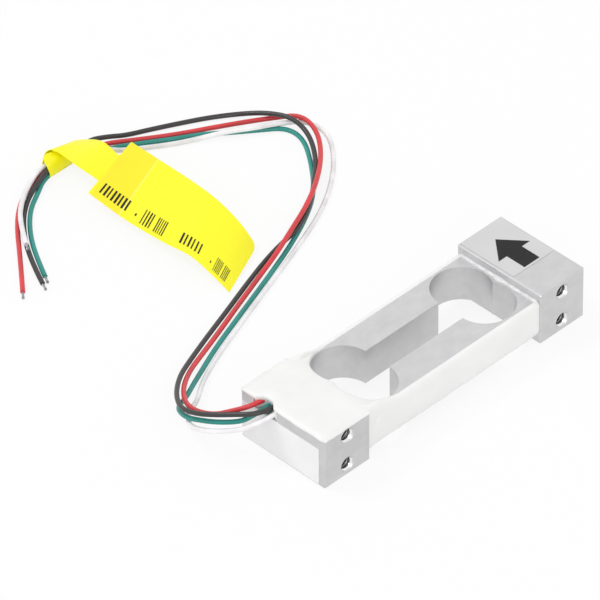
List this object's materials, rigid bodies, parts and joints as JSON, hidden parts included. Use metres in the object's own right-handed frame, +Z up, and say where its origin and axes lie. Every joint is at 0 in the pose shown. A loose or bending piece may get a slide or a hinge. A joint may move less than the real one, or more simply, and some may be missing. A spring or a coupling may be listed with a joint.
{
  "type": "single point load cell",
  "caption": "Single point load cell: aluminium beam with a lobed cut-out, gauges under white coating, loose leads and a film tag.",
  "frame": {"origin": "centre of the underside's box, on the plane that the end blocks stand on", "axes": "+X along the beam from the lead end to the arrow end, +Y across it towards the loose leads, +Z up"},
  "size_m": [0.0841, 0.1058, 0.0123],
  "materials": {
    "milled_aluminium": "satin, milled with plain tool marks",
    "silicone_white": "soft semi-gloss sealant",
    "label_paper": "plain semi-gloss paper",
    "label_foil": "light grey film, nearly the colour of the metal",
    "ink_black": "flat ink",
    "board_green": "solder-masked laminate",
    "pad_copper": "bare copper",
    "solder": "bright solder",
    "ribbon_tinned": "tinned copper",
    "gauge_film": "amber polyimide film",
    "gauge_foil": "constantan foil",
    "lead_red": "soft semi-gloss insulation",
    "lead_black": "soft semi-gloss insulation",
    "lead_green": "soft semi-gloss insulation",
    "lead_white": "soft semi-gloss insulation",
    "core_tinned": "tinned copper strands",
    "tag_film": "glossy yellow film"
  },
  "bodies": {
    "root": {"spring_element": "milled_aluminium", "silicone_coating": "silicone_white", "end_label": "label_paper", "arrow_label": "label_foil", "arrow_print": "ink_black", "terminal_board": "board_green", "board_pads": "pad_copper", "board_solder": "solder", "gauge_solder": "solder", "bridge_ribbons_front": "ribbon_tinned", "bridge_ribbons_rear": "ribbon_tinned", "wire_tag": "tag_film", "tag_print": "ink_black", "gauge_backing_front_near": "gauge_film", "gauge_grid_front_near": "gauge_foil", "gauge_backing_front_far": "gauge_film", "gauge_grid_front_far": "gauge_foil", "gauge_backing_rear_near": "gauge_film", "gauge_grid_rear_near": "gauge_foil", "gauge_backing_rear_far": "gauge_film", "gauge_grid_rear_far": "gauge_foil", "lead_red": "lead_red", "core_red": "core_tinned", "lead_black": "lead_black", "core_black": "core_tinned", "lead_green": "lead_green", "core_green": "core_tinned", "lead_white": "lead_white", "core_white": "core_tinned"}
  },
  "joints": []
}
